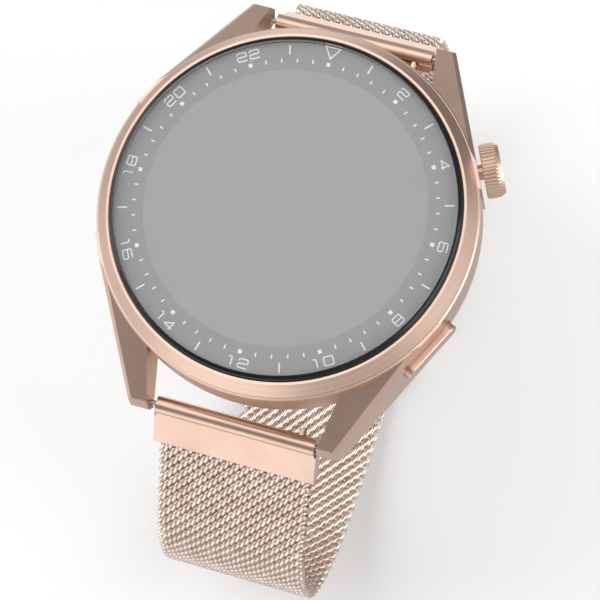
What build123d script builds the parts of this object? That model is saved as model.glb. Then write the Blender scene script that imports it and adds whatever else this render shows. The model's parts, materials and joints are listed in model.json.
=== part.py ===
"""Round smartwatch on a mesh strap, closed in a loop. Millimetres, +Z out of the glass, +Y to 12 o'clock.

The origin is the centre of the rear sensor window's outer face, where the watch touches the wrist.
"""
import math
import os

from build123d import *

# Case
case_r = 24.6
case_top_z = 11.4
case_edge = 0.2
case_taper_z = 5.6
case_foot_r = 22.6
case_floor_z = 1.4
cavity_r = 21.6
flange_r = 18.6
flange_top_z = 2.8
cover_r = 22.2
frame_seat_r = 22.6
frame_seat_z = 9.6
bezel_seat_r = 24.05
bezel_seat_z = 10.4

# Lugs
lug_gap = 22.0
lug_top_z = 5.3
lug_top_y = 27.5
lug_slope = 0.437
lug_tip_y = 28.1
lug_tip_z = 3.1
lug_foot_y = 27.3
lug_foot_z = 0.3
side_angle = 26.0
side_distance = 24.7
lug_chamfer = 0.33
pin_hole_r = 0.45
pin_hole_depth = 1.2

# Bezel and face
land_inner_r = 22.62
land_outer_r = 23.0
land_z = 13.3
bezel_edge_r = 24.3
bezel_edge_z = 11.6
glass_r = 21.95
glass_top_z = 14.0
glass_under_z = 13.0
rim_r = 22.6
display_r = 18.2
mark_thickness = 0.05
mark_gap = 0.02
ring_gap = 0.01

# Strap
bar_y = 26.9
bar_z = 1.85
barrel_r = 1.15
barrel_width = 21.5
plate_width = 22.0
plate_outer = 0.46
plate_inner = -1.9
plate_start = 1.5
plate_length = 6.5
neck_start = 0.3
neck_end = 1.9
mesh_width = 21.0
mesh_thickness = 1.2
mesh_level = -0.9
mesh_start = 5.0
bend_gap = 0.75
lower_heading = 54.5
lower_straight = 14.9
lower_sweep_r = 25.0
lower_corner_r = 18.2
lower_corner_turn = 70.0
upper_heading = 61.0
upper_straight = 1.8
upper_swell = (5.0, -23.0)
upper_crest = (7.8, 34.4)
upper_sweep_r = 40.0
upper_drop = 8.0
bend_turn = 60.0

# Clasp
clasp_thickness = 1.9
clasp_gap = 0.25
clasp_bottom_z = -51.5
lower_plate_y = (-7.8, 9.0)
upper_plate_y = (2.5, 16.5)
clasp_slot_depth = 1.5
magnet_size = (5.0, 3.2, 0.8)
magnet_spacing = 6.6

# Crown and button
crown_z = 7.8
crown_shift = 1.2
crown_r = 3.54
crown_start = 25.3
crown_length = 2.45
crown_bevel = (0.75, 0.36)
crown_foot_bevel = 0.2
crown_teeth = 46
tooth_cut_r = 0.17
crown_travel = 0.5
stem_r = 1.0
tube_r = 1.6
button_z = 6.9
button_shift = -1.0
button_length = 8.9
button_height = 2.5
button_face = 25.6
button_travel = 0.4
plunger_r = 0.8
button_switch_back = 16.6
button_switch_size = (3.2, 2.0)
running_gap = 0.05

os.makedirs("parts", exist_ok=True)


def save(piece, name):
    """Label a finished piece and write it as one STEP file."""
    piece.part.label = name
    export_step(piece.part, f"parts/{name}.step")


def side_plane(angle, shift, height, distance):
    """A plane facing out of the case side: x along the wall, y up, z outwards."""
    turn = math.radians(angle)
    outward = Vector(math.cos(turn), math.sin(turn), 0)
    along = Vector(-math.sin(turn), math.cos(turn), 0)
    origin = outward * distance + along * shift + Vector(0, 0, height)
    return Plane(origin=origin, x_dir=along, z_dir=outward)


def crown_plane(distance):
    """The crown's cross-section plane at a distance along its axis."""
    return side_plane(side_angle, crown_shift, crown_z, distance)


def button_plane(distance):
    """The side button's cross-section plane at a distance along its axis."""
    return side_plane(-side_angle, button_shift, button_z, distance)


def ring(name, inner_r, outer_r, low_z, high_z):
    """Save a plain ring or disc that lies about the Z axis."""
    with BuildPart() as body:
        with BuildSketch(Plane.XY.offset(low_z)):
            Circle(outer_r)
            if inner_r:
                Circle(inner_r, mode=Mode.SUBTRACT)
        extrude(amount=high_z - low_z)
    save(body, name)


def box(name, centre, size, corner=0.0):
    """Save an upright block, its vertical edges rounded if a corner radius is given."""
    x, y, z = centre
    width, depth, height = size
    with BuildPart() as body:
        with BuildSketch(Plane.XY.offset(z - height / 2)):
            with Locations((x, y)):
                if corner:
                    RectangleRounded(width, depth, corner)
                else:
                    Rectangle(width, depth)
        extrude(amount=height)
    save(body, name)


# ---------------------------------------------------------------- case
# One lug at +X +Y: its side outline, cut to its plan, then its inner wall slanted and its outer edge chamfered.
side_turn = math.radians(side_angle)
side_normal = Vector(math.cos(side_turn), math.sin(side_turn), 0)
top_normal = Vector(0, lug_slope, 1).normalized()
lug_join_y = 9.0
lug_crest_y = lug_top_y - (case_top_z - lug_top_z) / lug_slope
lug_edge_x = (side_distance - lug_top_y * side_normal.Y) / side_normal.X
lug_edge = Vector(lug_edge_x, lug_top_y, lug_top_z)
chamfer_normal = (side_normal + top_normal).normalized()
wall_root = Vector(12.8, 21.2, 0)
wall_tip = Vector(11.3, lug_tip_y, 0)
wall_along = (wall_tip - wall_root).normalized()
wall_inward = Vector(-wall_along.Y, wall_along.X, 0)

with BuildPart() as lug:
    with BuildSketch(Plane.YZ.offset(lug_gap / 2)):
        Polygon(
            (lug_join_y, lug_foot_z + 1.4),
            (lug_foot_y - 4.5, lug_foot_z),
            (lug_foot_y, lug_foot_z),
            (lug_tip_y, lug_tip_z),
            (lug_top_y, lug_top_z),
            (lug_crest_y, case_top_z),
            (lug_join_y, case_top_z),
            align=None,
        )
    extrude(amount=14)
    tip_x = (side_distance - 30 * side_normal.Y) / side_normal.X
    root_x = (side_distance - lug_join_y * side_normal.Y) / side_normal.X
    with BuildSketch(Plane.XY):
        Polygon((lug_gap / 2, lug_join_y), (root_x, lug_join_y), (tip_x, 30), (lug_gap / 2, 30), align=None)
    extrude(amount=case_top_z, mode=Mode.INTERSECT)
    chamfer_plane = Plane(origin=lug_edge - chamfer_normal * lug_chamfer, z_dir=chamfer_normal)
    split(bisect_by=chamfer_plane, keep=Keep.BOTTOM)
    split(bisect_by=Plane(origin=wall_root, z_dir=wall_inward), keep=Keep.BOTTOM)
    mirror(about=Plane.YZ)
    mirror(about=Plane.XZ)

speaker_port_r = 0.45
screw_circle_r = 20.7
screw_r = 0.7
screw_angles = (45, 4)
gasket_r = (18.9, 19.5)

with BuildPart() as mid_case:
    with BuildSketch(Plane.XZ):
        with BuildLine():
            Polyline(
                (flange_r - 8, case_floor_z),
                (case_foot_r, case_floor_z),
                (case_r, case_taper_z),
                (case_r, case_top_z - case_edge),
                (case_r - case_edge, case_top_z),
                (flange_r - 8, case_top_z),
                close=True,
            )
        make_face()
    revolve(axis=Axis.Z)
    add(lug.part)
    # Everything inside the wall, from the rear cover's recess up to the bezel's seat.
    with BuildSketch(Plane.XZ):
        with BuildLine():
            Polyline(
                (0, case_floor_z - 3),
                (cover_r + running_gap, case_floor_z - 3),
                (cover_r + running_gap, case_floor_z),
                (flange_r, case_floor_z),
                (flange_r, flange_top_z),
                (cavity_r, flange_top_z),
                (cavity_r, frame_seat_z),
                (frame_seat_r, frame_seat_z),
                (frame_seat_r, bezel_seat_z),
                (bezel_seat_r, bezel_seat_z),
                (bezel_seat_r, case_top_z + 3),
                (0, case_top_z + 3),
                close=True,
            )
        make_face()
    revolve(axis=Axis.Z, mode=Mode.SUBTRACT)
    # Groove for the rear gasket and tapped holes for the rear screws.
    with BuildSketch(Plane.XY.offset(case_floor_z)):
        Circle(gasket_r[1])
        Circle(gasket_r[0], mode=Mode.SUBTRACT)
    extrude(amount=0.4, mode=Mode.SUBTRACT)
    with BuildSketch(Plane.XY.offset(case_floor_z)):
        with PolarLocations(screw_circle_r, screw_angles[1], start_angle=screw_angles[0]):
            Circle(screw_r)
    extrude(amount=1.2, mode=Mode.SUBTRACT)
    # Holes for the spring bar pins, in the inner faces of the lugs.
    for side in (-1, 1):
        with BuildSketch(Plane.YZ.offset(side * lug_gap / 2)):
            with Locations((bar_y, bar_z), (-bar_y, bar_z)):
                Circle(pin_hole_r)
        extrude(amount=side * pin_hole_depth, mode=Mode.SUBTRACT)
    # Crown tube hole, button pocket and plunger hole.
    with BuildSketch(crown_plane(19.5)):
        Circle(tube_r)
    extrude(amount=6, mode=Mode.SUBTRACT)
    with BuildSketch(button_plane(23.4)):
        SlotOverall(button_length + 0.2, button_height + 0.2)
    extrude(amount=3, mode=Mode.SUBTRACT)
    with BuildSketch(button_plane(19.0)):
        Circle(plunger_r + running_gap)
    extrude(amount=6, mode=Mode.SUBTRACT)
    # Sound ports in the 9 o'clock side.
    with BuildSketch(side_plane(180, 0, 4.6, 20)):
        with GridLocations(1.8, 1, 3, 1):
            Circle(speaker_port_r)
    extrude(amount=6, mode=Mode.SUBTRACT)
save(mid_case, "mid_case")

# Bezel ring: a polished land around the glass, then a brushed cone with an undercut below its rim.
with BuildPart() as bezel_ring:
    with BuildSketch(Plane.XZ):
        with BuildLine():
            Polyline(
                (land_inner_r, bezel_seat_z),
                (bezel_seat_r - running_gap, bezel_seat_z),
                (bezel_seat_r - running_gap, case_top_z + 0.08),
                (bezel_edge_r, case_top_z + 0.12),
                (bezel_edge_r, bezel_edge_z),
                (land_outer_r, land_z),
                (land_inner_r + 0.06, land_z),
                (land_inner_r, land_z - 0.06),
                close=True,
            )
        make_face()
    revolve(axis=Axis.Z)
save(bezel_ring, "bezel_ring")

# ---------------------------------------------------------------- face
ring("cover_glass", 0, glass_r, glass_under_z, glass_top_z)

# Black rim that holds the glass: its top rounds over from the glass down to the bezel.
with BuildPart() as crystal_rim:
    with BuildSketch(Plane.XZ):
        with BuildLine():
            rim_foot = Line((glass_r + ring_gap, 12.3), (rim_r, 12.3))
            rim_wall = Line(rim_foot @ 1, (rim_r, land_z))
            rim_top = (glass_r + ring_gap, glass_top_z)
            rim_round = ThreePointArc(rim_wall @ 1, (glass_r + 0.47, 13.79), rim_top)
            Line(rim_round @ 1, rim_foot @ 0)
        make_face()
    revolve(axis=Axis.Z)
save(crystal_rim, "crystal_rim")

face_z = glass_under_z - mark_thickness - mark_gap
ring("hour_ring", display_r + ring_gap, glass_r - running_gap, 12.45, face_z)
ring("display_panel", 0, display_r, 11.75, face_z)

# Hour marks: ticks, squares, a triangle and the even hours of a 24-hour ring, as thin raised strokes.
numeral_height = 1.14
numeral_width = 1.2
numeral_spacing = 1.64
numeral_r = 20.8
stroke = 0.16
corner = 0.2
digit_lines = {
    "0": [[(0, 0), (1, 0), (1, 1), (0, 1)]],
    "1": [[(0.25, 1), (0.6, 1), (0.6, 0)]],
    "2": [[(0, 0.75), (0, 1), (1, 1), (1, 0.5), (0, 0.5), (0, 0), (1, 0)]],
    "4": [[(0.78, 0), (0.78, 1.06)], [(0.84, 1.05), (-0.03, 0.24)], [(-0.06, 0.27), (1.05, 0.27)]],
    "6": [[(1, 1), (0, 1), (0, 0), (1, 0), (1, 0.55), (0.5, 0.55)], [(0, 0.55), (0.6, 0.55)]],
    "8": [[(0, 0), (1, 0), (1, 1), (0, 1)], [(0, 0.5), (1, 0.5)]],
}
closed_digits = ("0", "8")


def numeral(text):
    """The strokes of one number, centred on the sketch's origin."""
    with BuildSketch(mode=Mode.PRIVATE) as drawn:
        for index, digit in enumerate(text):
            middle = (index - (len(text) - 1) / 2) * numeral_spacing
            for number, points in enumerate(digit_lines[digit]):
                placed = [
                    (middle + (x - 0.5) * numeral_width, (y - 0.5) * numeral_height) for x, y in points
                ]
                closed = digit in closed_digits and number == 0
                with BuildLine() as outline:
                    if len(placed) > 2:
                        FilletPolyline(*placed, radius=corner, close=closed)
                    else:
                        Line(*placed)
                trace(outline.line, line_width=stroke)
    return drawn.sketch


with BuildPart() as hour_marks:
    with BuildSketch(Plane.XY.offset(face_z)):
        for minute in range(60):
            with PolarLocations(19.4, 1, start_angle=6 * minute):
                Rectangle(0.5, 0.5 if minute % 5 == 0 else 0.18)
        for hour in range(12):
            with PolarLocations(20.84, 1, start_angle=30 * hour + 15):
                Rectangle(1.25, 0.2)
        with BuildLine() as triangle:
            Polyline((-1.0, 21.75), (1.0, 21.75), (0, 20.25), close=True)
        trace(triangle.line, line_width=stroke)
        for hour in range(2, 24, 2):
            angle = 90 - 15 * hour
            inward = 8 < hour < 17
            turn = angle + 90 if inward else angle - 90
            radians = math.radians(angle)
            place = Location((numeral_r * math.cos(radians), numeral_r * math.sin(radians)), turn)
            with Locations(place):
                add(numeral(str(hour)))
    extrude(amount=mark_thickness)
save(hour_marks, "hour_marks")

# ---------------------------------------------------------------- inside
frame_top_z = 10.3
board_z = (6.1, 6.9)

with BuildPart() as inner_frame:
    with BuildSketch(Plane.XY.offset(frame_seat_z)):
        Circle(22.4)
        Circle(16.0, mode=Mode.SUBTRACT)
    extrude(amount=frame_top_z - frame_seat_z)
    with BuildSketch(Plane.XY.offset(frame_top_z)):
        Circle(19.8)
        Circle(18.5, mode=Mode.SUBTRACT)
    extrude(amount=12.45 - frame_top_z)
    with BuildSketch(Plane.XY.offset(board_z[1])):
        with PolarLocations(16.9, 3, start_angle=75):
            Circle(1.2)
    extrude(amount=frame_seat_z - board_z[1])
save(inner_frame, "inner_frame")

ring("antenna_ring", 20.1, 21.6, frame_top_z, 11.6)

with BuildPart() as display_flex:
    with BuildSketch(Plane.XY.offset(board_z[1])):
        with Locations((0, -13.6)):
            Rectangle(8.4, 2.0)
    extrude(amount=0.8)
    with BuildSketch(Plane.XY.offset(board_z[1] + 0.8)):
        with Locations((0, -14.2)):
            Rectangle(7.6, 0.2)
    extrude(amount=11.75 - board_z[1] - 0.8)
save(display_flex, "display_flex")

with BuildPart() as main_board:
    with BuildSketch(Plane.XY.offset(board_z[0])):
        Circle(18.2)
        # Notch for the crown's encoder wheel.
        with Locations(Location((19.4 * math.cos(side_turn), 19.4 * math.sin(side_turn)), side_angle)):
            Rectangle(4.4, 7.0, mode=Mode.SUBTRACT)
    extrude(amount=board_z[1] - board_z[0])
    # Notch for the side button's switch, which sits in the board's thickness.
    with BuildSketch(button_plane(button_switch_back - running_gap)):
        Rectangle(button_switch_size[0] + 2 * running_gap, button_switch_size[1])
    extrude(amount=3, mode=Mode.SUBTRACT)
save(main_board, "main_board")

box("shield_can", (-5.0, 3.0, 7.7), (13.0, 12.0, 1.6), 0.8)
box("microphone", (-13.0, -6.0, 7.4), (3.0, 2.2, 1.0), 0.3)
box("battery", (0, 0, 4.4), (24.0, 19.0, 3.2), 1.5)
box("speaker", (-16.6, 0, 4.5), (5.6, 10.0, 2.8), 0.6)

with BuildPart() as haptic_motor:
    with BuildSketch(Plane.XY.offset(3.0)):
        with Locations((0, 14.2)):
            Circle(4.0)
    extrude(amount=2.8)
save(haptic_motor, "haptic_motor")

# ---------------------------------------------------------------- rear
cover_z = 0.5
window_r = 10.9
window_flange_r = 11.5
head_r = 1.2

with BuildPart() as rear_cover:
    with BuildSketch(Plane.XY.offset(cover_z)):
        Circle(cover_r)
        Circle(window_r + running_gap, mode=Mode.SUBTRACT)
    extrude(amount=case_floor_z - cover_z)
    chamfer(rear_cover.faces().sort_by(Axis.Z)[0].outer_wire().edges(), length=0.35)
    with BuildSketch(Plane.XY.offset(1.0)):
        Circle(window_flange_r + running_gap)
    extrude(amount=0.5, mode=Mode.SUBTRACT)
    with BuildSketch(Plane.XY.offset(cover_z)):
        with PolarLocations(screw_circle_r, screw_angles[1], start_angle=screw_angles[0]):
            Circle(head_r + running_gap)
    extrude(amount=0.45, mode=Mode.SUBTRACT)
    with BuildSketch(Plane.XY.offset(cover_z)):
        with PolarLocations(screw_circle_r, screw_angles[1], start_angle=screw_angles[0]):
            Circle(screw_r + running_gap)
    extrude(amount=1.0, mode=Mode.SUBTRACT)
save(rear_cover, "rear_cover")

with BuildPart() as rear_screws:
    with BuildSketch(Plane.XY.offset(cover_z)):
        with PolarLocations(screw_circle_r, screw_angles[1], start_angle=screw_angles[0]):
            Circle(head_r)
            RegularPolygon(0.55, 6, mode=Mode.SUBTRACT)
    extrude(amount=0.45)
    with BuildSketch(Plane.XY.offset(cover_z + 0.45)):
        with PolarLocations(screw_circle_r, screw_angles[1], start_angle=screw_angles[0]):
            Circle(screw_r)
    extrude(amount=1.6)
save(rear_screws, "rear_screws")

ring("rear_gasket", gasket_r[0], gasket_r[1], case_floor_z, case_floor_z + 0.4)

with BuildPart() as sensor_window:
    with BuildSketch(Plane.XZ):
        with BuildLine():
            Polyline(
                (0, 0),
                (8.0, 0),
                (window_r, cover_z),
                (window_r, 1.0),
                (window_flange_r, 1.0),
                (window_flange_r, case_floor_z),
                (0, case_floor_z),
                close=True,
            )
        make_face()
    revolve(axis=Axis.Z)
save(sensor_window, "sensor_window")

with BuildPart() as optical_barrier:
    with BuildSketch(Plane.XY.offset(case_floor_z)):
        Circle(9.0)
        Circle(2.2, mode=Mode.SUBTRACT)
        with PolarLocations(5.6, 4):
            Circle(1.6, mode=Mode.SUBTRACT)
    extrude(amount=0.7)
save(optical_barrier, "optical_barrier")

with BuildPart() as sensor_board:
    with BuildSketch(Plane.XY.offset(2.1)):
        Circle(9.5)
    extrude(amount=0.4)
    with BuildSketch(Plane.XY.offset(2.1)):
        Circle(1.4)
        with PolarLocations(5.6, 4):
            Circle(1.0)
    extrude(amount=-0.5)
save(sensor_board, "sensor_board")

ring("charging_coil", 12.2, 17.0, 1.45, 2.1)

# ---------------------------------------------------------------- crown
stem_end = 17.4
encoder_at = 18.7
tube_end = crown_start - 0.75

with BuildPart() as crown_tube:
    with BuildSketch(crown_plane(20.6)):
        Circle(tube_r)
        Circle(stem_r + running_gap, mode=Mode.SUBTRACT)
    extrude(amount=tube_end - 20.6)
save(crown_tube, "crown_tube")

# Crown cap: fine teeth all round, bevelled widely at the outer rim and a little at the foot.
crown_out = crown_plane(0).z_dir
crown_axis = Axis(origin=crown_plane(crown_start).origin, direction=crown_out)
crown_section = Plane(origin=crown_axis.position, x_dir=crown_plane(0).x_dir, z_dir=(0, 0, -1))
bevel_length, bevel_depth = crown_bevel

with BuildPart() as crown_cap:
    with BuildSketch(crown_plane(crown_start)):
        Circle(crown_r)
        with PolarLocations(crown_r, crown_teeth):
            Circle(tooth_cut_r, mode=Mode.SUBTRACT)
    extrude(amount=crown_length)
    with BuildSketch(crown_section):
        Polygon(
            (crown_r + 1, crown_length - bevel_length),
            (crown_r, crown_length - bevel_length),
            (crown_r - bevel_depth, crown_length),
            (crown_r - bevel_depth, crown_length + 1),
            (crown_r + 1, crown_length + 1),
            align=None,
        )
        Polygon(
            (crown_r + 1, -1),
            (crown_r - crown_foot_bevel, -1),
            (crown_r - crown_foot_bevel, 0),
            (crown_r, crown_foot_bevel),
            (crown_r + 1, crown_foot_bevel),
            align=None,
        )
    revolve(axis=crown_axis, mode=Mode.SUBTRACT)
    # The stem's socket, and a shallow dish in the outer face.
    with BuildSketch(crown_plane(crown_start)):
        Circle(stem_r)
    extrude(amount=1.6, mode=Mode.SUBTRACT)
    with BuildSketch(crown_plane(crown_start + crown_length)):
        Circle(crown_r - bevel_depth - 0.35)
    extrude(amount=-0.15, mode=Mode.SUBTRACT)
save(crown_cap, "crown_cap")

with BuildPart() as crown_stem:
    with BuildSketch(crown_plane(stem_end)):
        Circle(0.6)
    extrude(amount=encoder_at - stem_end)
    with BuildSketch(crown_plane(encoder_at)):
        Circle(stem_r)
    extrude(amount=crown_start + 1.6 - encoder_at)
    for groove in (21.6, 23.0):
        with BuildSketch(crown_plane(groove)):
            Circle(stem_r)
            Circle(0.75, mode=Mode.SUBTRACT)
        extrude(amount=0.5, mode=Mode.SUBTRACT)
save(crown_stem, "crown_stem")

with BuildPart() as crown_seals:
    for groove in (21.6, 23.0):
        with BuildSketch(crown_plane(groove)):
            Circle(stem_r + 0.03)
            Circle(0.75, mode=Mode.SUBTRACT)
        extrude(amount=0.5)
save(crown_seals, "crown_seals")

with BuildPart() as encoder_wheel:
    with BuildSketch(crown_plane(encoder_at + 0.1)):
        Circle(1.7)
        Circle(stem_r, mode=Mode.SUBTRACT)
        with PolarLocations(1.7, 16):
            Circle(0.14, mode=Mode.SUBTRACT)
    extrude(amount=0.7)
save(encoder_wheel, "encoder_wheel")

with BuildPart() as crown_pusher:
    with BuildSketch(crown_plane(stem_end - 0.6)):
        Circle(0.82)
    extrude(amount=1.3)
    with BuildSketch(crown_plane(stem_end - 0.05)):
        Circle(0.6 + running_gap)
    extrude(amount=1.0, mode=Mode.SUBTRACT)
save(crown_pusher, "crown_pusher")

with BuildPart() as crown_switch:
    with BuildSketch(crown_plane(14.6)):
        Rectangle(3.2, 1.7)
    extrude(amount=1.1)
    with BuildSketch(crown_plane(15.7)):
        Circle(0.6)
    extrude(amount=0.5)
save(crown_switch, "crown_switch")

# ---------------------------------------------------------------- side button
button_back = 23.9

with BuildPart() as button_cap:
    with BuildSketch(button_plane(button_back)):
        SlotOverall(button_length, button_height)
    extrude(amount=button_face - button_back)
    press_axis = Axis(origin=(0, 0, 0), direction=button_plane(0).z_dir)
    fillet(button_cap.faces().sort_by(press_axis)[-1].edges(), radius=0.25)
save(button_cap, "button_cap")

with BuildPart() as button_plunger:
    with BuildSketch(button_plane(18.9)):
        Circle(plunger_r)
    extrude(amount=button_back - 18.9)
    with BuildSketch(button_plane(22.2)):
        Circle(plunger_r)
        Circle(0.6, mode=Mode.SUBTRACT)
    extrude(amount=0.5, mode=Mode.SUBTRACT)
save(button_plunger, "button_plunger")

with BuildPart() as button_seal:
    with BuildSketch(button_plane(22.2)):
        Circle(plunger_r + 0.03)
        Circle(0.6, mode=Mode.SUBTRACT)
    extrude(amount=0.5)
save(button_seal, "button_seal")

with BuildPart() as button_switch:
    with BuildSketch(button_plane(button_switch_back)):
        Rectangle(*button_switch_size)
    extrude(amount=1.3)
    with BuildSketch(button_plane(button_switch_back + 1.3)):
        Circle(0.6)
    extrude(amount=0.5)
save(button_switch, "button_switch")


# ---------------------------------------------------------------- strap
class Walk:
    """A point that walks round one side of the strap, in the plane across the bars.

    Sign is -1 for the 6 o'clock side and 1 for the 12 o'clock side. Heading is measured from
    the outward horizontal, downwards, and grows as the strap turns under the wrist.
    """

    def __init__(self, sign, heading):
        self.sign = sign
        self.heading = heading
        self.y = sign * bar_y
        self.z = bar_z

    def direction(self):
        """The way the strap runs here."""
        turn = math.radians(self.heading)
        return (self.sign * math.cos(turn), -math.sin(turn))

    def step(self, along, outward=0.0):
        """Move straight, along the strap and out from the wrist."""
        y, z = self.direction()
        self.y += along * y - self.sign * outward * z
        self.z += along * z + self.sign * outward * y

    def arc(self, radius, turn):
        """Move round an arc of the strap's centre line. A negative turn bends it outwards."""
        before = math.radians(self.heading)
        after = math.radians(self.heading + turn)
        radius = math.copysign(radius, turn)
        self.y += self.sign * radius * (math.sin(after) - math.sin(before))
        self.z -= radius * (math.cos(before) - math.cos(after))
        self.heading += turn

    def point(self):
        """Where the walk stands, as a point in the YZ plane."""
        return (self.y, self.z)


def mesh_segment(name, walk, runs, nosed, gapped):
    """Save one stretch of mesh and leave the walk at its far end.

    Each run is (length, 0) for a straight one or (radius, turn) for an arc. A nosed stretch ends in a
    half round on the bend's axis. A gapped one starts a little after it.
    """
    with BuildPart() as stretch:
        with BuildSketch(Plane.YZ.offset(-mesh_width / 2)):
            for number, (size, turn) in enumerate(runs):
                used = size, turn
                if gapped and number == 0:
                    lead = math.degrees(bend_gap / size)
                    walk.arc(size, lead)
                    used = size, turn - lead
                with BuildLine() as path:
                    if turn:
                        JernArc(walk.point(), walk.direction(), used[0], -walk.sign * used[1])
                        walk.arc(*used)
                    else:
                        start = walk.point()
                        walk.step(size)
                        Line(start, walk.point())
                trace(path.line, line_width=mesh_thickness)
            if nosed:
                with Locations(walk.point()):
                    Circle(mesh_thickness / 2)
        extrude(amount=mesh_width)
    save(stretch, name)


def link_plane(sign, heading, x):
    """The plane across an end link: x along its plate, away from the bar, y out from the wrist."""
    turn = math.radians(heading)
    along = Vector(0, sign * math.cos(turn), -math.sin(turn))
    return Plane(origin=(x, sign * bar_y, bar_z), x_dir=along, z_dir=(sign, 0, 0))


release_x = 8.6
release_travel = 1.5
release_r = 0.5
release_reach = 1.9
bar_r = 0.75
bar_pin_r = 0.4
bar_end = 10.65
pin_reach = 11.8


def end_link(name, sign, heading):
    """Save an end link: a barrel between the lugs and a plate with a slot that holds the mesh."""
    with BuildPart() as link:
        with BuildSketch(link_plane(sign, heading, -sign * barrel_width / 2)):
            Circle(barrel_r)
            with Locations(((neck_start + neck_end) / 2, (plate_outer + plate_inner) / 2)):
                Rectangle(neck_end - neck_start, plate_outer - plate_inner)
        extrude(amount=barrel_width)
        with BuildSketch(link_plane(sign, heading, -sign * plate_width / 2)):
            with Locations(((plate_start + plate_length) / 2, (plate_outer + plate_inner) / 2)):
                RectangleRounded(plate_length - plate_start, plate_outer - plate_inner, 0.2)
        extrude(amount=plate_width)
        with BuildSketch(link_plane(sign, heading, -sign * mesh_width / 2)):
            with Locations((mesh_start + 2, mesh_level)):
                Rectangle(4, mesh_thickness)
        extrude(amount=mesh_width, mode=Mode.SUBTRACT)
        with BuildSketch(Plane.YZ.offset(-barrel_width / 2)):
            with Locations((sign * bar_y, bar_z)):
                Circle(bar_r + running_gap)
        extrude(amount=barrel_width, mode=Mode.SUBTRACT)
        # Slot for the release knob, on the side that faces the case.
        with BuildSketch(Plane.XZ.offset(-sign * bar_y)):
            with Locations((release_x - release_travel / 2, bar_z)):
                SlotOverall(release_travel + 2 * release_r + 0.3, 2 * release_r + 0.2)
        extrude(amount=sign * 3, mode=Mode.SUBTRACT)
    save(link, name)


def spring_bar(name, sign):
    """Save a spring bar's tube with its fixed pin at -X and a slot for the release knob."""
    with BuildPart() as bar:
        with BuildSketch(Plane.YZ.offset(-bar_end)):
            with Locations((sign * bar_y, bar_z)):
                Circle(bar_r)
        extrude(amount=2 * bar_end)
        with BuildSketch(Plane.YZ.offset(-pin_reach)):
            with Locations((sign * bar_y, bar_z)):
                Circle(bar_pin_r)
        extrude(amount=pin_reach - bar_end)
        with BuildSketch(Plane.YZ.offset(bar_end)):
            with Locations((sign * bar_y, bar_z)):
                Circle(bar_pin_r + running_gap)
        extrude(amount=-7.5, mode=Mode.SUBTRACT)
        with BuildSketch(Plane.XZ.offset(-sign * bar_y)):
            with Locations((release_x - release_travel / 2, bar_z)):
                SlotOverall(release_travel + 2 * release_r + 0.2, 2 * release_r + 0.1)
        extrude(amount=sign * 2, mode=Mode.SUBTRACT)
    save(bar, name)


def release_pin(name, sign):
    """Save the sliding pin at +X with the knob that draws it out of the lug."""
    with BuildPart() as pin:
        with BuildSketch(Plane.YZ.offset(5.2)):
            with Locations((sign * bar_y, bar_z)):
                Circle(bar_pin_r)
        extrude(amount=pin_reach - 5.2)
        with BuildSketch(Plane.XZ.offset(-sign * bar_y)):
            with Locations((release_x, bar_z)):
                Circle(release_r - 0.02)
        extrude(amount=sign * release_reach)
    save(pin, name)


sides = {"lower": (-1, lower_heading), "upper": (1, upper_heading)}
for side, (sign, heading) in sides.items():
    end_link(f"{side}_end_link", sign, heading)
    spring_bar(f"{side}_spring_bar", sign)
    release_pin(f"{side}_release_pin", sign)

# The 6 o'clock side: straight, a wide sweep, a corner, then a long curve down to the clasp.
lower_level_z = clasp_bottom_z + clasp_thickness / 2
lower = Walk(-1, lower_heading)
lower.step(mesh_start, mesh_level)
mesh_segment(
    "lower_mesh_1",
    lower,
    [(lower_straight, 0), (lower_sweep_r, 90 - lower_heading)],
    nosed=True,
    gapped=False,
)
lower_bends = [lower.point()]
mesh_segment("lower_mesh_2", lower, [(lower_corner_r, bend_turn)], nosed=True, gapped=True)
lower_bends.append(lower.point())
corner_left = lower_corner_turn - bend_turn
final_turn = 90 - lower_corner_turn
landing = Walk(-1, lower.heading)
landing.z = lower.z
landing.arc(lower_corner_r, corner_left)
lower_final_r = (landing.z - lower_level_z) / (1 - math.cos(math.radians(final_turn)))
mesh_segment(
    "lower_mesh_3",
    lower,
    [(lower_corner_r, corner_left), (lower_final_r, final_turn), (clasp_slot_depth - 0.6, 0)],
    nosed=False,
    gapped=True,
)
lower_mesh_end_y = lower.y

# The 12 o'clock side: it swells out past the link, crests, sweeps down and turns one corner to the clasp.
upper_level_z = clasp_bottom_z + 1.5 * clasp_thickness + clasp_gap
upper = Walk(1, upper_heading)
upper.step(mesh_start, mesh_level)
mesh_segment(
    "upper_mesh_1",
    upper,
    [
        (upper_straight, 0),
        upper_swell,
        upper_crest,
        (upper_sweep_r, 90 - upper_heading - upper_swell[1] - upper_crest[1]),
        (upper_drop, 0),
    ],
    nosed=True,
    gapped=False,
)
upper_bends = [upper.point()]
upper_corner_r = upper.z - upper_level_z
mesh_segment("upper_mesh_2", upper, [(upper_corner_r, bend_turn)], nosed=True, gapped=True)
upper_bends.append(upper.point())
landing = Walk(1, upper.heading)
landing.y = upper.y
landing.arc(upper_corner_r, 90 - bend_turn)
upper_flat = landing.y - upper_plate_y[1] + clasp_slot_depth
mesh_segment(
    "upper_mesh_3",
    upper,
    [(upper_corner_r, 90 - bend_turn), (upper_flat, 0)],
    nosed=False,
    gapped=True,
)

# ---------------------------------------------------------------- clasp
magnet_y = {"lower": (lower_plate_y[0] + lower_plate_y[1]) / 2 + 2.0, "upper": 7.0}


def magnets(name, y, low_z):
    """Save three bar magnets side by side."""
    width, depth, height = magnet_size
    with BuildPart() as bars:
        with BuildSketch(Plane.XY.offset(low_z)):
            with Locations((0, y)):
                with GridLocations(magnet_spacing, 1, 3, 1):
                    Rectangle(width, depth)
        extrude(amount=height)
    save(bars, name)


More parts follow.
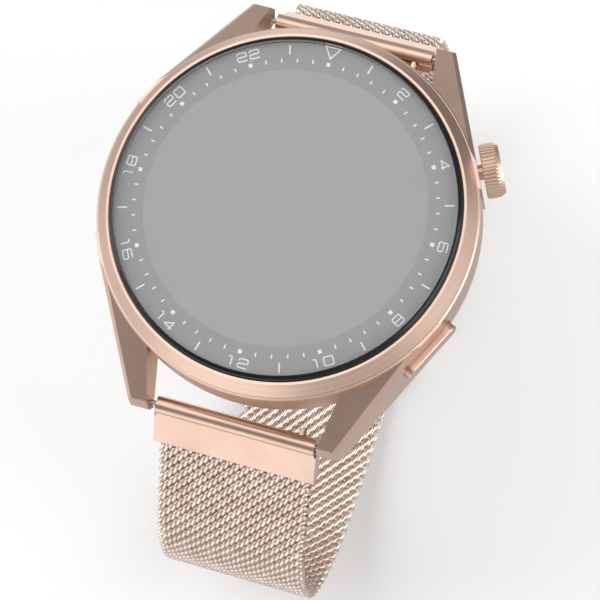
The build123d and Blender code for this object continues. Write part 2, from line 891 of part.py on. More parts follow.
def clasp_plate(name, ends, low_z, slot_y, slot_z, y, pocket_z):
    """Save a clasp plate with rounded corners, a slot for the mesh and pockets for three magnets."""
    width, depth, height = magnet_size
    with BuildPart() as plate:
        with BuildSketch(Plane.XY.offset(low_z)):
            with Locations((0, (ends[0] + ends[1]) / 2)):
                RectangleRounded(plate_width, ends[1] - ends[0], 1.6)
        extrude(amount=clasp_thickness)
        chamfer(plate.edges().group_by(Axis.Z)[0], length=0.25)
        with BuildSketch(Plane.XY.offset(slot_z - mesh_thickness / 2)):
            with Locations((0, slot_y)):
                Rectangle(mesh_width, 2 * clasp_slot_depth)
        extrude(amount=mesh_thickness, mode=Mode.SUBTRACT)
        with BuildSketch(Plane.XY.offset(pocket_z)):
            with Locations((0, y)):
                with GridLocations(magnet_spacing, 1, 3, 1):
                    Rectangle(width, depth)
        extrude(amount=height, mode=Mode.SUBTRACT)
    save(plate, name)


lower_top_z = clasp_bottom_z + clasp_thickness
lower_pocket_z = lower_top_z - magnet_size[2]
clasp_plate(
    "clasp_lower_plate",
    lower_plate_y,
    clasp_bottom_z,
    lower_plate_y[0],
    lower_level_z,
    magnet_y["upper"],
    lower_pocket_z,
)
magnets("lower_magnets", magnet_y["upper"], lower_pocket_z)
upper_low_z = lower_top_z + clasp_gap
clasp_plate(
    "clasp_upper_plate",
    upper_plate_y,
    upper_low_z,
    upper_plate_y[1],
    upper_level_z,
    magnet_y["upper"],
    upper_low_z,
)
magnets("upper_magnets", magnet_y["upper"], upper_low_z)

print("bends, lower:", lower_bends, "upper:", upper_bends)
print("lower mesh ends at y", lower_mesh_end_y, "corner radius", upper_corner_r, "last radius", lower_final_r)
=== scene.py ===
"""Looks for the smartwatch: a woven strap, metal, glass and print finishes, and a plain studio.

Everything is in metres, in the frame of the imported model: +Z out of the glass, +Y to 12 o'clock.
"""
import json
import logging
import math
from dataclasses import dataclass, field
from enum import Enum

import bmesh
import bpy
from mathutils import Matrix, Vector


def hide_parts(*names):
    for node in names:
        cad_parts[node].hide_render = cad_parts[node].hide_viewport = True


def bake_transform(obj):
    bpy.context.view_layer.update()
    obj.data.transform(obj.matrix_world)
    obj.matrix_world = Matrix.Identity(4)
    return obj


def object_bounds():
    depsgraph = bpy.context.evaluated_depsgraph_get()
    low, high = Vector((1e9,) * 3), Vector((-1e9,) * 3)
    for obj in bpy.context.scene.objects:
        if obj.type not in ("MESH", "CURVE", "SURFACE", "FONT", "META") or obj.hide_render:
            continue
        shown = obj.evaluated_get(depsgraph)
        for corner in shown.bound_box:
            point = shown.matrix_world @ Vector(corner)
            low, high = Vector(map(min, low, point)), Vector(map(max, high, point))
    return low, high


LOG = logging.getLogger("smartwatch")
MM = 0.001
COAT_ROUGHNESS = 0.05
BUMP_STRENGTH = 0.6
GLASS_IOR = 1.5
PATH_SAMPLES = 400

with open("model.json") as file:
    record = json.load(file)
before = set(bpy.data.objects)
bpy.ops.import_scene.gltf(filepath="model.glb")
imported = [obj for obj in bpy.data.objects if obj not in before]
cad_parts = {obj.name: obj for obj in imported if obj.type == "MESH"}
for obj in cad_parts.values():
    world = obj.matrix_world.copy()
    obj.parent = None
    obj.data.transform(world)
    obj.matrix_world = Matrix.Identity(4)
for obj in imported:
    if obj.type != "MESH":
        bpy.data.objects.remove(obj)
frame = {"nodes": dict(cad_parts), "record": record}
CAD_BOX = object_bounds()


class Side(Enum):
    """The two halves of the strap, by the sign of Y that each starts from."""

    LOWER = -1
    UPPER = 1


# ------------------------------------------------------------------ node helpers
class Graph:
    """A small builder for shader node trees."""

    def __init__(self, tree: bpy.types.NodeTree) -> None:
        """Wrap a node tree.

        Args:
            tree: The material's, world's or group's tree.
        """
        self.tree = tree
        self.nodes = tree.nodes
        self.links = tree.links

    def add(self, kind: str, **settings: object) -> bpy.types.Node:
        """Add a node and set its properties.

        Args:
            kind: The node's type name.
            **settings: Properties to set on it.

        Returns:
            The new node.
        """
        node = self.nodes.new(kind)
        for name, value in settings.items():
            setattr(node, name, value)
        return node

    def join(self, source: bpy.types.NodeSocket, target: bpy.types.NodeSocket) -> None:
        """Link an output socket to an input socket."""
        self.links.new(source, target)

    def maths(self, operation: str, *inputs: object) -> bpy.types.NodeSocket:
        """Add a Math node.

        Args:
            operation: The operation's name.
            *inputs: Sockets or plain numbers, in order.

        Returns:
            The node's output socket.
        """
        node = self.add("ShaderNodeMath", operation=operation)
        for index, value in enumerate(inputs):
            if isinstance(value, bpy.types.NodeSocket):
                self.join(value, node.inputs[index])
            else:
                node.inputs[index].default_value = value
        return node.outputs[0]

    def noise(self, vector: bpy.types.NodeSocket, scale: float, detail: float = 3.0) -> bpy.types.NodeSocket:
        """Add a noise texture.

        Args:
            vector: Where to read it.
            scale: Its scale, in features per metre.
            detail: How many finer layers it has.

        Returns:
            Its value, from 0 to 1.
        """
        node = self.add("ShaderNodeTexNoise")
        node.inputs["Scale"].default_value = scale
        node.inputs["Detail"].default_value = detail
        self.join(vector, node.inputs["Vector"])
        return node.outputs["Fac"]

    def spread(self, value: bpy.types.NodeSocket, low: float, high: float) -> bpy.types.NodeSocket:
        """Map a 0 to 1 value onto a range.

        Args:
            value: The value, from 0 to 1.
            low: What 0.25 becomes.
            high: What 0.75 becomes.

        Returns:
            The mapped value, clamped.
        """
        node = self.add("ShaderNodeMapRange")
        node.inputs["From Min"].default_value = 0.25
        node.inputs["From Max"].default_value = 0.75
        node.inputs["To Min"].default_value = low
        node.inputs["To Max"].default_value = high
        self.join(value, node.inputs["Value"])
        return node.outputs["Result"]

    def mix(self, mask: bpy.types.NodeSocket, low: tuple, high: tuple) -> bpy.types.NodeSocket:
        """Blend two colours.

        Args:
            mask: 0 for the first, 1 for the second.
            low: The first colour, linear.
            high: The second colour, linear.

        Returns:
            The blended colour.
        """
        node = self.add("ShaderNodeMix", data_type="RGBA")
        factor, first, second, result = node.inputs[0], node.inputs[6], node.inputs[7], node.outputs[2]
        first.default_value = (*low, 1.0)
        second.default_value = (*high, 1.0)
        self.join(mask, factor)
        return result


def shared_group(
    name: str, inputs: dict[str, float], outputs: tuple[str, ...]
) -> tuple[Graph, bpy.types.Node, bpy.types.Node]:
    """Start a shader node group with named number sockets.

    Args:
        name: The group's name.
        inputs: Each input's name and default.
        outputs: The names of the value outputs.

    Returns:
        The graph, its input node and its output node.
    """
    tree = bpy.data.node_groups.new(name, "ShaderNodeTree")
    for label, value in inputs.items():
        socket = tree.interface.new_socket(name=label, in_out="INPUT", socket_type="NodeSocketFloat")
        socket.default_value = value
    for label in outputs:
        tree.interface.new_socket(name=label, in_out="OUTPUT", socket_type="NodeSocketFloat")
    graph = Graph(tree)
    return graph, graph.add("NodeGroupInput"), graph.add("NodeGroupOutput")


def grain_group() -> bpy.types.NodeTree:
    """Fine even grain: a mask that changes slowly and a height that changes quickly.

    Returns:
        The group, with outputs Mask and Height.
    """
    graph, given, result = shared_group("Fine grain", {"Coarse": 300.0, "Fine": 6000.0}, ("Mask", "Height"))
    place = graph.add("ShaderNodeTexCoord").outputs["Object"]
    for source, target in (("Coarse", "Mask"), ("Fine", "Height")):
        node = graph.add("ShaderNodeTexNoise")
        node.inputs["Detail"].default_value = 3.0
        graph.join(place, node.inputs["Vector"])
        graph.join(given.outputs[source], node.inputs["Scale"])
        graph.join(node.outputs["Fac"], result.inputs[target])
    return graph.tree


def turned_group() -> bpy.types.NodeTree:
    """Brush lines that run round the Z axis, as a lathe leaves them.

    Returns:
        The group, with outputs Mask and Height.
    """
    graph, given, result = shared_group("Turned lines", {"Lines": 9000.0, "Drift": 1.4}, ("Mask", "Height"))
    place = graph.add("ShaderNodeTexCoord").outputs["Object"]
    parts = graph.add("ShaderNodeSeparateXYZ")
    graph.join(place, parts.inputs[0])
    x, y, z = parts.outputs
    squares = graph.maths("ADD", graph.maths("MULTIPLY", x, x), graph.maths("MULTIPLY", y, y))
    radius = graph.maths("SQRT", squares)
    across = graph.maths("MULTIPLY", graph.maths("SUBTRACT", radius, z), given.outputs["Lines"])
    around = graph.maths("MULTIPLY", graph.maths("ARCTAN2", y, x), given.outputs["Drift"])
    joined = graph.add("ShaderNodeCombineXYZ")
    graph.join(across, joined.inputs[0])
    graph.join(around, joined.inputs[1])
    graph.join(graph.noise(joined.outputs[0], 1.0, 4.0), result.inputs["Height"])
    graph.join(graph.noise(joined.outputs[0], 0.35, 2.0), result.inputs["Mask"])
    return graph.tree


class Groups:
    """The shared effects, each built once."""

    def __init__(self) -> None:
        """Build every group."""
        self.grain = grain_group()
        self.turned = turned_group()


# ------------------------------------------------------------------ finishes
@dataclass(frozen=True)
class Finish:
    """A surface finish with a little variation in it.

    Attributes:
        slot: The record's material slot it stands for.
        low: Its darker colour, linear.
        high: Its lighter colour, linear.
        roughness: The range of its roughness.
        metallic: 1 for a bare metal.
        coat: How much clear coat it has.
        coarse: Features per metre of the slow variation.
        fine: Features per metre of the grain.
        bump: How deep the grain looks, in metres, or 0 for a printed or glazed face.
        turned: Whether its grain is lathe lines.
        anisotropy: How far its highlights stretch across brush lines.
        specular: The specular level.
    """

    slot: str
    low: tuple[float, float, float]
    high: tuple[float, float, float]
    roughness: tuple[float, float] = (0.4, 0.5)
    metallic: float = 0.0
    coat: float = 0.0
    coarse: float = 300.0
    fine: float = 6000.0
    bump: float = 0.000002
    turned: bool = False
    anisotropy: float = 0.0
    specular: float = 0.5

    def build(self, groups: Groups) -> bpy.types.Material:
        """Make the material.

        Args:
            groups: The shared node groups.

        Returns:
            The new material.
        """
        material = bpy.data.materials.new(self.slot)
        material.use_nodes = True
        graph = Graph(material.node_tree)
        shader = graph.nodes["Principled BSDF"]
        effect = graph.add("ShaderNodeGroup", node_tree=groups.turned if self.turned else groups.grain)
        if self.turned:
            effect.inputs["Lines"].default_value = self.fine
            effect.inputs["Drift"].default_value = self.coarse
        else:
            effect.inputs["Coarse"].default_value = self.coarse
            effect.inputs["Fine"].default_value = self.fine
        mask, height = effect.outputs["Mask"], effect.outputs["Height"]
        graph.join(graph.mix(graph.spread(mask, 0.0, 1.0), self.low, self.high), shader.inputs["Base Color"])
        graph.join(graph.spread(height, *self.roughness), shader.inputs["Roughness"])
        if self.bump:
            bump = graph.add("ShaderNodeBump")
            bump.inputs["Distance"].default_value = self.bump
            bump.inputs["Strength"].default_value = BUMP_STRENGTH
            graph.join(height, bump.inputs["Height"])
            graph.join(bump.outputs["Normal"], shader.inputs["Normal"])
        shader.inputs["Metallic"].default_value = self.metallic
        shader.inputs["Coat Weight"].default_value = self.coat
        shader.inputs["Coat Roughness"].default_value = COAT_ROUGHNESS
        shader.inputs["Specular IOR Level"].default_value = self.specular
        shader.inputs["Anisotropic"].default_value = self.anisotropy
        if self.anisotropy:
            tangent = graph.add("ShaderNodeTangent", direction_type="RADIAL", axis="Z")
            graph.join(tangent.outputs[0], shader.inputs["Tangent"])
        material.diffuse_color = (*self.high, 1.0)
        return material


@dataclass(frozen=True)
class Glass:
    """Clear or tinted glass that lets light down to what lies under it.

    Attributes:
        slot: The record's material slot it stands for.
        tint: Its colour, linear.
        transmission: How much it lets through.
        roughness: Its roughness.
    """

    slot: str
    tint: tuple[float, float, float]
    transmission: float = 1.0
    roughness: float = 0.02

    def build(self, groups: Groups) -> bpy.types.Material:
        """Make the material.

        Args:
            groups: The shared node groups.

        Returns:
            The new material.
        """
        material = bpy.data.materials.new(self.slot)
        material.use_nodes = True
        graph = Graph(material.node_tree)
        shader = graph.nodes["Principled BSDF"]
        shader.inputs["Base Color"].default_value = (*self.tint, 1.0)
        shader.inputs["Transmission Weight"].default_value = self.transmission
        shader.inputs["IOR"].default_value = GLASS_IOR
        effect = graph.add("ShaderNodeGroup", node_tree=groups.grain)
        effect.inputs["Coarse"].default_value = 60.0
        effect.inputs["Fine"].default_value = 900.0
        smear = graph.spread(effect.outputs["Mask"], self.roughness * 0.4, self.roughness)
        graph.join(smear, shader.inputs["Roughness"])
        if self.transmission:
            path = graph.add("ShaderNodeLightPath")
            clear = graph.add("ShaderNodeBsdfTransparent")
            surface = shader.outputs[0]
            for ray in ("Is Shadow Ray", "Is Diffuse Ray"):
                either = graph.add("ShaderNodeMixShader")
                graph.join(path.outputs[ray], either.inputs[0])
                graph.join(surface, either.inputs[1])
                graph.join(clear.outputs[0], either.inputs[2])
                surface = either.outputs[0]
            graph.join(surface, graph.nodes["Material Output"].inputs["Surface"])
        return material


ROSE_DEEP = (0.70, 0.485, 0.385)
ROSE_LIGHT = (0.80, 0.585, 0.48)
WIRE_DEEP = (0.74, 0.57, 0.48)
WIRE_LIGHT = (0.97, 0.86, 0.78)

FINISHES = (
    Finish("case_metal", ROSE_DEEP, ROSE_LIGHT, (0.28, 0.38), 1.0, coarse=120.0, fine=14000.0, bump=0.000001),
    Finish(
        "bezel_metal",
        ROSE_DEEP,
        ROSE_LIGHT,
        (0.24, 0.36),
        1.0,
        coarse=1.6,
        fine=14000.0,
        bump=0.0000012,
        turned=True,
        anisotropy=0.6,
    ),
    Finish("link_metal", ROSE_DEEP, ROSE_LIGHT, (0.26, 0.34), 1.0, coarse=160.0, fine=12000.0, bump=0.000001),
    Finish("mesh_steel", WIRE_DEEP, WIRE_LIGHT, (0.14, 0.24), 1.0, coarse=500.0, fine=9000.0, bump=0.000001),
    Finish(
        "black_rim",
        (0.004, 0.004, 0.004),
        (0.008, 0.008, 0.008),
        (0.08, 0.14),
        coarse=60.0,
        specular=0.35,
    ),
    Finish("dial_grey", (0.225, 0.225, 0.225), (0.235, 0.235, 0.235), (0.55, 0.7), bump=0.0, specular=0.2),
    Finish("display_grey", (0.27, 0.27, 0.27), (0.28, 0.28, 0.28), (0.55, 0.7), bump=0.0, specular=0.2),
    Finish("white_print", (0.72, 0.72, 0.72), (0.78, 0.78, 0.78), (0.5, 0.6), bump=0.0, specular=0.2),
    Finish("dark_plastic", (0.020, 0.020, 0.022), (0.034, 0.034, 0.037), (0.45, 0.6), bump=0.00001),
    Finish("rear_plastic", (0.012, 0.012, 0.013), (0.022, 0.022, 0.024), (0.16, 0.26), coat=0.5),
    Finish(
        "copper",
        (0.62, 0.27, 0.13),
        (0.78, 0.40, 0.22),
        (0.25, 0.4),
        1.0,
        turned=True,
        fine=5000.0,
        coarse=1.0,
    ),
    Finish("flex_orange", (0.42, 0.16, 0.03), (0.56, 0.24, 0.05), (0.3, 0.45), coat=0.2),
    Finish("circuit_board", (0.010, 0.060, 0.028), (0.030, 0.130, 0.060), (0.3, 0.5), coat=0.3, coarse=900.0),
    Finish("tin_plate", (0.58, 0.58, 0.59), (0.72, 0.72, 0.73), (0.22, 0.36), 1.0, coarse=500.0),
    Finish(
        "battery_foil",
        (0.40, 0.41, 0.43),
        (0.56, 0.57, 0.59),
        (0.3, 0.5),
        1.0,
        coarse=250.0,
        bump=0.00002,
    ),
    Finish("seal_rubber", (0.012, 0.012, 0.012), (0.022, 0.022, 0.022), (0.6, 0.75), bump=0.00001),
    Finish("screw_steel", (0.52, 0.52, 0.54), (0.68, 0.68, 0.70), (0.2, 0.34), 1.0, coarse=600.0),
    Finish("magnet", (0.55, 0.55, 0.57), (0.66, 0.66, 0.68), (0.16, 0.26), 1.0, coarse=400.0),
)
GLASSES = (
    Glass("cover_glass", (0.98, 0.985, 0.99), 1.0, 0.02),
    Glass("sensor_glass", (0.035, 0.035, 0.040), 0.0, 0.06),
)


class Dressing:
    """Makes the finishes and gives one to every carried-over CAD node."""

    def __init__(self) -> None:
        """Build every material by its slot."""
        groups = Groups()
        self.by_slot = {finish.slot: finish.build(groups) for finish in (*FINISHES, *GLASSES)}

    def dress(self, piece: bpy.types.Object, slot: str) -> None:
        """Give a piece one material.

        Args:
            piece: The object to dress.
            slot: The record's slot name.
        """
        materials = piece.data.materials
        if not materials:
            materials.append(self.by_slot[slot])
        for index in range(len(materials)):
            materials[index] = self.by_slot[slot]

    def dress_frame(self) -> None:
        """Dress every CAD node by the record's slot for it."""
        for entry in frame["record"]["subparts"]:
            self.dress(frame["nodes"][entry["node"]], entry["material_slot"])


# ------------------------------------------------------------------ strap
def joint_named(name: str) -> dict[str, object]:
    """Find a joint in the record by its name."""
    return next(joint for joint in frame["record"]["behaviour"]["joints"] if joint["name"] == name)


@dataclass
class StrapPath:
    """The centre line of one side of the strap, in the YZ plane.

    Heading is measured down from the outward horizontal, and grows as the strap turns under the wrist.

    Attributes:
        side: Which half of the strap it is.
        heading: The heading at the end link, in degrees.
        runs: Stretches in order: (length, 0) for a straight one, (radius, turn) for an arc. A negative
            turn bends it outwards.
        lean: How far the strap leans to +X between its ends.
        start_along: How far along the end link's plate the mesh starts.
        start_outward: How far out from the bar the centre line lies there.
    """

    side: Side
    heading: float
    runs: list[tuple[float, float]]
    lean: float = 0.0
    start_along: float = 5.0 * MM
    start_outward: float = -0.9 * MM
    pieces: list[tuple[float, float, float, float, float, float]] = field(default_factory=list)
    length: float = 0.0

    def __post_init__(self) -> None:
        """Work out where each run starts."""
        _, y, z = joint_named(f"{self.name}_link_pivot")["pos_m"]
        heading = math.radians(self.heading)
        along, out = self.direction(heading), self.outward(heading)
        y += along[0] * self.start_along + out[0] * self.start_outward
        z += along[1] * self.start_along + out[1] * self.start_outward
        for size, turn in self.runs:
            radius = math.copysign(size, turn) if turn else 0.0
            span = radius * math.radians(turn) if turn else size
            self.pieces.append((self.length, span, y, z, heading, radius))
            y, z = self.advance(y, z, heading, radius, span)
            heading += math.radians(turn)
            self.length += span

    @property
    def name(self) -> str:
        """The side's word in node and body names."""
        return self.side.name.lower()

    def direction(self, heading: float) -> tuple[float, float]:
        """The way the strap runs at a heading, as (y, z)."""
        return self.side.value * math.cos(heading), -math.sin(heading)

    def outward(self, heading: float) -> tuple[float, float]:
        """The way out from the wrist at a heading, as (y, z)."""
        return self.side.value * math.sin(heading), math.cos(heading)

    def advance(self, y: float, z: float, heading: float, radius: float, span: float) -> tuple[float, float]:
        """Move along a run.

        Args:
            y: Where the run starts, along Y.
            z: Where it starts, along Z.
            heading: Its first heading, in radians.
            radius: Its radius, or 0 if it is straight.
            span: How far to move.

        Returns:
            The new (y, z).
        """
        if not radius:
            along = self.direction(heading)
            return y + along[0] * span, z + along[1] * span
        after = heading + span / radius
        y += self.side.value * radius * (math.sin(after) - math.sin(heading))
        z -= radius * (math.cos(heading) - math.cos(after))
        return y, z

    def at(self, distance: float) -> tuple[Vector, Vector, Vector]:
        """Find a place on the path.

        Args:
            distance: How far along the path.

        Returns:
            The point, the way along and the way out, as vectors.
        """
        start, _, y, z, heading, radius = [run for run in self.pieces if run[0] <= max(distance, 0.0)][-1]
        y, z = self.advance(y, z, heading, radius, distance - start)
        if radius:
            heading += (distance - start) / radius
        return Vector((0, y, z)), Vector((0, *self.direction(heading))), Vector((0, *self.outward(heading)))


@dataclass
class Weave:
    """The woven mesh: rows of flattened coils, each reaching into the next.

    Attributes:
        row_pitch: The distance from row to row.
        turns: Coil turns across the strap.
        half_width: Half the width between the end turns' centres.
        wire: The wire's radius.
        reach: How far a coil reaches along the strap from its row.
        lift: How far a coil rises from the middle of the strap.
        pinch: How much the coil's ends are drawn in along the strap, as a share.
        shoulder: How much its flanks are raised, as a share.
        steps: Points on one turn.
        blend_reach: How far along the path from a bend's axis the bend step reaches.
        lean_reach: How far from its ends the strap reaches its full lean.
    """

    row_pitch: float = 0.91 * MM
    turns: float = 14.5
    half_width: float = 10.20 * MM
    wire: float = 0.30 * MM
    reach: float = 0.88 * MM
    lift: float = 0.295 * MM
    pinch: float = 0.12
    shoulder: float = 0.18
    steps: int = 10
    blend_reach: float = 7.5 * MM
    lean_reach: float = 14.0 * MM

    def lean(self, path: StrapPath, distance: float) -> float:
        """How far the strap has leant to one side.

        Args:
            path: The strap's centre line.
            distance: How far along it.

        Returns:
            The shift along X.
        """
        share = min(distance, path.length - distance) / self.lean_reach
        share = min(max(share, 0.0), 1.0)
        return path.lean * share * share * (3 - 2 * share)

    def coil(self, path: StrapPath, centre: float, odd: bool) -> list[Vector]:
        """The centre line of one row's wire.

        Args:
            path: The strap's centre line.
            centre: Where the row lies along it.
            odd: Whether the row is shifted by half a turn.

        Returns:
            Points along the wire.
        """
        count = round(self.turns * self.steps)
        points = []
        for index in range(count + 1):
            share = index / count
            angle = 2 * math.pi * self.turns * share + (math.pi if odd else 0.0)
            along = -self.reach * math.sin(angle) * (1 - self.pinch * math.cos(2 * angle))
            rise = self.lift * math.cos(angle) * (1 + self.shoulder * math.sin(angle) ** 2)
            point, _, outward = path.at(centre + along)
            across = (2 * share - 1) * self.half_width + self.lean(path, centre + along)
            points.append(point + outward * rise + Vector((across, 0, 0)))
        return points

    def piece(self, name: str, path: StrapPath, start: float, end: float, first: int) -> bpy.types.Object:
        """Weave one stretch.

        Args:
            name: The piece's name.
            path: The strap's centre line.
            start: Where its first row may lie.
            end: Where its last row may lie.
            first: The number of the strap's rows before it.

        Returns:
            The mesh object.
        """
        curve = bpy.data.curves.new(name, "CURVE")
        curve.dimensions = "3D"
        curve.bevel_depth = self.wire
        curve.bevel_resolution = 1
        curve.use_fill_caps = True
        for row in range(round((end - start) / self.row_pitch)):
            points = self.coil(path, start + (row + 0.5) * self.row_pitch, bool((first + row) % 2))
            spline = curve.splines.new("POLY")
            spline.points.add(len(points) - 1)
            for target, point in zip(spline.points, points):
                target.co = (*point, 1.0)
            spline.use_smooth = True
        drawn = bpy.data.objects.new(f"{name}_wire", curve)
        bpy.context.collection.objects.link(drawn)
        bpy.context.view_layer.update()
        mesh = bpy.data.meshes.new_from_object(drawn.evaluated_get(bpy.context.evaluated_depsgraph_get()))
        bpy.data.objects.remove(drawn)
        piece = bpy.data.objects.new(name, mesh)
        bpy.context.collection.objects.link(piece)
        return piece


@dataclass
class Strap:
    """One side of the strap: two woven pieces, each bending over one hinge.

    Attributes:
        path: Its centre line.
        weave: How it is woven.
        middle: Where the two pieces meet along the path.
    """

    path: StrapPath
    weave: Weave
    middle: float

    def bend(self, piece: bpy.types.Object, joint_name: str) -> None:
        """Find the path's point nearest the hinge, then bake the piece's transform into its mesh.

        Args:
            piece: The woven piece.
            joint_name: The hinge it crosses.
        """
        joint = joint_named(joint_name)
        centre = Vector(joint["pos_m"])
        steps = [self.path.length * index / PATH_SAMPLES for index in range(PATH_SAMPLES + 1)]
        nearest = min(steps, key=lambda distance: (self.path.at(distance)[0] - centre).length)
        along = self.path.at(nearest)[1] * self.weave.blend_reach
        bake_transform(piece)

    def build(self, dressing: Dressing) -> None:
        """Weave both pieces and put them in place of the CAD stretches.

        Args:
            dressing: Where the finishes come from.
        """
        name = self.path.name
        rows = round(self.middle / self.weave.row_pitch)
        split = rows * self.weave.row_pitch
        first = self.weave.piece(f"{name}_weave_top", self.path, 0.0, split, 0)
        second = self.weave.piece(f"{name}_weave_bottom", self.path, split, self.path.length, rows)
        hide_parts(f"{name}_mesh_1", f"{name}_mesh_2")
        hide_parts(f"{name}_mesh_3")
        for piece, joint in ((first, f"{name}_bend_1"), (second, f"{name}_bend_2")):
            dressing.dress(piece, "mesh_steel")
            self.bend(piece, joint)
            LOG.info("wove %s with %d faces", piece.name, len(piece.data.polygons))


def runs_length(runs: list[tuple[float, float]]) -> float:
    """Add up the lengths of straight runs and arcs."""
    return sum(size * math.radians(abs(turn)) if turn else size for size, turn in runs)


def straps() -> list[Strap]:
    """Lay out both sides of the strap.

    The two woven pieces of a side meet a little way into its corner.

    Returns:
        The 6 o'clock side and the 12 o'clock side.
    """
    weave = Weave()
    woven_corner = 30.0
    lower_start = [(14.9 * MM, 0), (25.0 * MM, 35.5)]
    lower_corner = 18.2 * MM
    lower_end = [(67.26355856 * MM, 20.0), (0.9 * MM, 0)]
    lower_path = StrapPath(Side.LOWER, 54.5, [*lower_start, (lower_corner, 70.0), *lower_end])
    upper_start = [
        (1.8 * MM, 0),
        (5.0 * MM, -23.0),
        (7.8 * MM, 34.4),
        (40.0 * MM, 17.6),
        (8.0 * MM, 0),
    ]
    upper_corner = 18.46745731 * MM
    upper_path = StrapPath(
        Side.UPPER,
        61.0,
        [*upper_start, (upper_corner, 90.0), (1.74 * MM, 0)],
        lean=-1.4 * MM,
    )
    lower_middle = runs_length([*lower_start, (lower_corner, woven_corner)])
    upper_middle = runs_length([*upper_start, (upper_corner, woven_corner)])
    return [Strap(lower_path, weave, lower_middle), Strap(upper_path, weave, upper_middle)]


# ------------------------------------------------------------------ studio
@dataclass(frozen=True)
class Softbox:
    """A square soft light that faces the watch.

    Attributes:
        name: Its name.
        place: The way to it from the watch.
        distance: How far off it stands.
        size: The length of its side.
        power: Its power in watts.
    """

    name: str
    place: tuple[float, float, float]
    distance: float
    size: float
    power: float

    def build(self, target: Vector) -> None:
        """Hang the light.

        Args:
            target: The point it faces.
        """
        data = bpy.data.lights.new(self.name, "AREA")
        data.shape = "SQUARE"
        data.size = self.size
        data.energy = self.power
        light = bpy.data.objects.new(self.name, data)
        bpy.context.collection.objects.link(light)
        away = Vector(self.place).normalized()
        facing = away.to_track_quat("Z", "Y")
        light.matrix_world = Matrix.LocRotScale(target + away * self.distance, facing, None)


@dataclass(frozen=True)
class Wall:
    """A soft-edged patch of the room, brighter or darker than the rest.

    Attributes:
        place: The way to its middle from the watch.
        inner: Half its full-strength angle, in degrees.
        outer: Half the angle where it has faded out, in degrees.
        glow: Its brightness.
    """

    place: tuple[float, float, float]
    inner: float
    outer: float
    glow: float


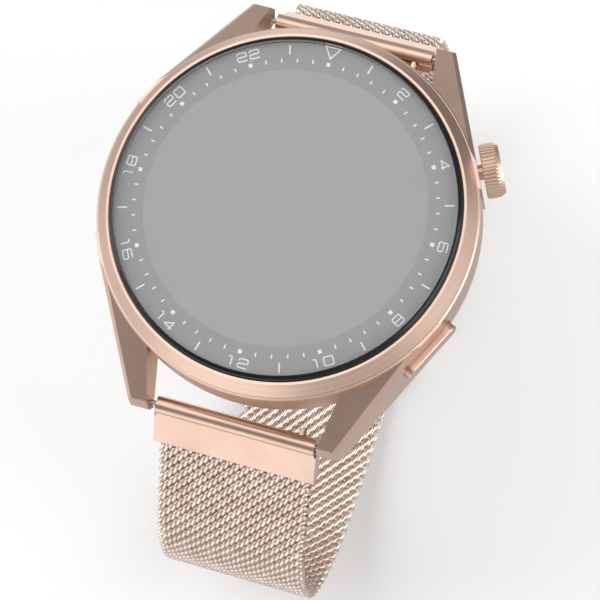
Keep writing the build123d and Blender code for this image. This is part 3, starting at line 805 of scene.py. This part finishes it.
@dataclass
class Studio:
    """The floor, the room's light and the camera.

    Attributes:
        camera_place: Where the camera stands.
        camera_look: The way it looks.
        camera_up: The way up in its picture.
        lens: Its focal length in millimetres.
        floor_size: The side of the floor.
        floor_tone: How much light the floor gives back.
        room_glow: The brightness of the room where no wall patch is.
        walls: The room's patches, laid over each other in order.
        boxes: The soft lights.
    """

    camera_place: tuple[float, float, float] = (0.064800, -0.072170, 0.320555)
    camera_look: tuple[float, float, float] = (-0.186292, 0.191478, -0.963655)
    camera_up: tuple[float, float, float] = (-0.252238, 0.938629, 0.235268)
    lens: float = 153.1
    floor_size: float = 3.0
    floor_tone: float = 0.95
    room_glow: float = 0.60
    walls: tuple[Wall, ...] = (
        Wall((0.97, 0.10, -0.10), 20.0, 50.0, 0.72),
        Wall((-0.80, -0.50, -0.25), 20.0, 45.0, 0.85),
        Wall((-0.20, 0.85, 0.45), 14.0, 40.0, 0.42),
        Wall((-0.20, 0.22, 0.95), 14.0, 34.0, 1.5),
        Wall((-0.10, -0.62, 0.76), 12.0, 34.0, 0.24),
        Wall((-0.25, -0.95, -0.15), 14.0, 34.0, 1.35),
        Wall((0.43, 0.86, -0.27), 12.0, 36.0, 0.24),
        Wall((-0.19, 0.63, -0.76), 6.0, 22.0, 1.35),
        Wall((0.80, 0.08, -0.59), 8.0, 24.0, 0.30),
    )
    boxes: tuple[Softbox, ...] = (
        Softbox("left_side", (-0.85, 0.05, 0.50), 0.9, 0.90, 4.8),
        Softbox("right_side", (0.88, 0.00, 0.45), 0.9, 0.80, 4.3),
    )

    def floor(self) -> None:
        """Lay the pale floor under the clasp."""
        half = self.floor_size / 2
        mesh = bpy.data.meshes.new("floor")
        shape = bmesh.new()
        bmesh.ops.create_grid(shape, x_segments=1, y_segments=1, size=half)
        bmesh.ops.translate(shape, verts=shape.verts, vec=(0, 0, CAD_BOX[0].z))
        shape.to_mesh(mesh)
        shape.free()
        floor = bpy.data.objects.new("floor", mesh)
        bpy.context.collection.objects.link(floor)
        floor.visible_glossy = False
        material = bpy.data.materials.new("floor_paper")
        material.use_nodes = True
        shader = material.node_tree.nodes["Principled BSDF"]
        shader.inputs["Base Color"].default_value = (*[self.floor_tone] * 3, 1.0)
        shader.inputs["Roughness"].default_value = 0.9
        shader.inputs["Specular IOR Level"].default_value = 0.0
        floor.data.materials.append(material)

    def room(self) -> None:
        """Fill the room with soft light that has brighter and darker walls."""
        world = bpy.data.worlds.new("room")
        bpy.context.scene.world = world
        world.use_nodes = True
        graph = Graph(world.node_tree)
        way = graph.add("ShaderNodeTexCoord").outputs["Generated"]
        glow = self.room_glow
        for wall in self.walls:
            near = graph.add("ShaderNodeVectorMath", operation="DOT_PRODUCT")
            graph.join(way, near.inputs[0])
            near.inputs[1].default_value = Vector(wall.place).normalized()
            edge = graph.add("ShaderNodeMapRange", interpolation_type="SMOOTHSTEP")
            graph.join(near.outputs["Value"], edge.inputs["Value"])
            edge.inputs["From Min"].default_value = math.cos(math.radians(wall.outer))
            edge.inputs["From Max"].default_value = math.cos(math.radians(wall.inner))
            change = graph.maths("SUBTRACT", wall.glow, glow)
            glow = graph.maths("MULTIPLY_ADD", change, edge.outputs["Result"], glow)
        background = graph.nodes["Background"]
        background.inputs["Color"].default_value = (1.0, 1.0, 1.0, 1.0)
        graph.join(glow, background.inputs["Strength"])

    def camera(self) -> None:
        """Set the camera."""
        data = bpy.data.cameras.new("camera")
        data.lens = self.lens
        data.clip_start = 0.01
        camera = bpy.data.objects.new("camera", data)
        bpy.context.collection.objects.link(camera)
        back = -Vector(self.camera_look).normalized()
        up = Vector(self.camera_up).normalized()
        right = up.cross(back).normalized()
        turn = Matrix((right, back.cross(right), back)).transposed().to_4x4()
        camera.matrix_world = Matrix.Translation(Vector(self.camera_place)) @ turn
        bpy.context.scene.camera = camera

    def build(self) -> None:
        """Build the whole studio."""
        self.floor()
        self.room()
        for softbox in self.boxes:
            softbox.build((CAD_BOX[0] + CAD_BOX[1]) / 2)
        self.camera()
        bpy.context.scene.view_settings.view_transform = "Standard"
        LOG.info("studio ready with %d soft lights", len(self.boxes))


def main() -> None:
    """Dress the frame, weave the strap and build the studio."""
    logging.basicConfig(level=logging.INFO)
    dressing = Dressing()
    dressing.dress_frame()
    for strap in straps():
        strap.build(dressing)
    Studio().build()


if __name__ == "__main__":
    main()
